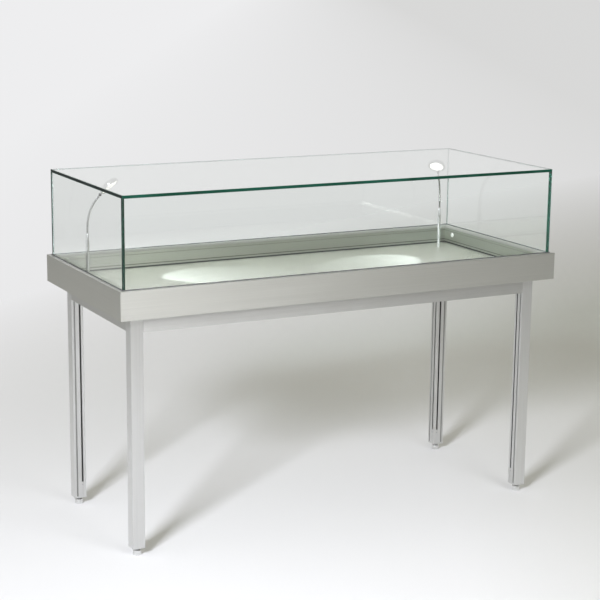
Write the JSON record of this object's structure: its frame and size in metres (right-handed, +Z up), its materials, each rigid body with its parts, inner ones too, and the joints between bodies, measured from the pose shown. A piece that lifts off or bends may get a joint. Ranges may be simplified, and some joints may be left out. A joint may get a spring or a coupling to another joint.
{
  "type": "table display case",
  "caption": "Glass-hooded display case on a slotted four-legged stand: deep aluminium frame, rear-hinged hood, gas struts, cam lock and slim lamps.",
  "frame": {"origin": "on the floor, under the middle of the case", "axes": "+X along the case's long side, +Y towards the hinged back, +Z up"},
  "size_m": [1.4, 0.6, 1.016],
  "materials": {
    "frame": "satin anodised",
    "stand": "satin anodised",
    "steel": "zinc plated or ground steel",
    "glass": "clear laminated glass with polished edges",
    "deck": "pale grey matt lacquer on board",
    "gasket": "black sponge seal",
    "lamp": "bright satin metal",
    "lens": "frosted lamp lens",
    "cylinder": "black painted tube",
    "foot": "plated steel"
  },
  "bodies": {
    "base": {"leg_front_left": "stand", "leg_front_right": "stand", "leg_back_right": "stand", "leg_back_left": "stand", "foot_insert_front_left": "stand", "foot_insert_front_right": "stand", "foot_insert_back_right": "stand", "foot_insert_back_left": "stand", "stand_rail_front": "stand", "stand_rail_right": "stand", "stand_rail_back": "stand", "stand_rail_left": "stand", "base_rail_front": "frame", "base_rail_right": "frame", "base_rail_back": "frame", "base_rail_left": "frame", "deck_board": "deck", "hood_gasket": "gasket", "hinge_base_leaf": "steel", "hinge_pin": "steel", "strut_base_bracket_left": "steel", "strut_base_bracket_right": "steel", "lock_keeper": "steel", "lamp_socket_left": "lamp", "lamp_socket_right": "lamp"},
    "hood": {"hood_rail_front": "frame", "hood_rail_right": "frame", "hood_rail_back": "frame", "hood_rail_left": "frame", "glazing_bead_front": "frame", "glazing_bead_right": "frame", "glazing_bead_back": "frame", "glazing_bead_left": "frame", "glass_front": "glass", "glass_right": "glass", "glass_back": "glass", "glass_left": "glass", "glass_top": "glass", "hinge_hood_leaf": "steel", "strut_pivot_cap_left": "steel", "strut_pivot_cap_right": "steel", "lock_barrel": "steel"},
    "lock_plug": {"lock_plug": "steel"},
    "strut_cylinder_left": {"strut_cylinder_left": "cylinder"},
    "strut_rod_left": {"strut_rod_left": "steel"},
    "lamp_arm_left": {"lamp_stem_left": "lamp", "lamp_neck_left": "lamp"},
    "lamp_head_left": {"lamp_head_left": "lamp", "lamp_lens_left": "lens"},
    "strut_cylinder_right": {"strut_cylinder_right": "cylinder"},
    "strut_rod_right": {"strut_rod_right": "steel"},
    "lamp_arm_right": {"lamp_stem_right": "lamp", "lamp_neck_right": "lamp"},
    "lamp_head_right": {"lamp_head_right": "lamp", "lamp_lens_right": "lens"},
    "levelling_foot_front_left": {"levelling_foot_front_left": "foot"},
    "levelling_foot_front_right": {"levelling_foot_front_right": "foot"},
    "levelling_foot_back_right": {"levelling_foot_back_right": "foot"},
    "levelling_foot_back_left": {"levelling_foot_back_left": "foot"}
  },
  "joints": [
    {"name": "hood_hinge", "type": "hinge", "parent": "base", "child": "hood", "pos_m": [0, 0.288, 0.692], "axis": [-1, 0, 0], "range_deg": [0, 50]},
    {"name": "lock_turn", "type": "hinge", "parent": "hood", "child": "lock_plug", "pos_m": [0.69, -0.23, 0.72], "axis": [-1, 0, 0], "range_deg": [0, 90]},
    {"name": "strut_swing_left", "type": "hinge", "parent": "base", "child": "strut_cylinder_left", "pos_m": [-0.6888, -0.02, 0.692], "axis": [1, 0, 0], "range_deg": [0, 4.56]},
    {"name": "strut_stroke_left", "type": "slide", "parent": "strut_cylinder_left", "child": "strut_rod_left", "axis": [0, 0.9829, 0.1843], "range_m": [0, 0.06538]},
    {"name": "strut_swing_right", "type": "hinge", "parent": "base", "child": "strut_cylinder_right", "pos_m": [0.6888, -0.02, 0.692], "axis": [1, 0, 0], "range_deg": [0, 4.56]},
    {"name": "strut_stroke_right", "type": "slide", "parent": "strut_cylinder_right", "child": "strut_rod_right", "axis": [0, 0.9829, 0.1843], "range_m": [0, 0.06538]},
    {"name": "lamp_swivel_left", "type": "hinge", "parent": "base", "child": "lamp_arm_left", "pos_m": [-0.602, 0.203, 0.7073], "axis": [0, 0, 1], "range_deg": [-45, 45]},
    {"name": "lamp_tilt_left", "type": "hinge", "parent": "lamp_arm_left", "child": "lamp_head_left", "pos_m": [-0.57279, 0.1701, 0.9503], "axis": [-0.7478, -0.6639, 0], "range_deg": [-35, 15]},
    {"name": "lamp_swivel_right", "type": "hinge", "parent": "base", "child": "lamp_arm_right", "pos_m": [0.602, 0.203, 0.7073], "axis": [0, 0, 1], "range_deg": [-45, 45]},
    {"name": "lamp_tilt_right", "type": "hinge", "parent": "lamp_arm_right", "child": "lamp_head_right", "pos_m": [0.57279, 0.1701, 0.9503], "axis": [-0.7478, 0.6639, 0], "range_deg": [-35, 15]},
    {"name": "foot_screw_front_left", "type": "slide", "parent": "base", "child": "levelling_foot_front_left", "axis": [0, 0, -1], "range_m": [0, 0.012]},
    {"name": "foot_screw_front_right", "type": "slide", "parent": "base", "child": "levelling_foot_front_right", "axis": [0, 0, -1], "range_m": [0, 0.012]},
    {"name": "foot_screw_back_right", "type": "slide", "parent": "base", "child": "levelling_foot_back_right", "axis": [0, 0, -1], "range_m": [0, 0.012]},
    {"name": "foot_screw_back_left", "type": "slide", "parent": "base", "child": "levelling_foot_back_left", "axis": [0, 0, -1], "range_m": [0, 0.012]}
  ],
  "couplings": [
    {"joint": "strut_swing_left", "follows": "hood_hinge", "ratio": 0.091051},
    {"joint": "strut_stroke_left", "follows": "hood_hinge", "m_per_rad": 0.074909},
    {"joint": "strut_swing_right", "follows": "hood_hinge", "ratio": 0.091051},
    {"joint": "strut_stroke_right", "follows": "hood_hinge", "m_per_rad": 0.074909}
  ]
}
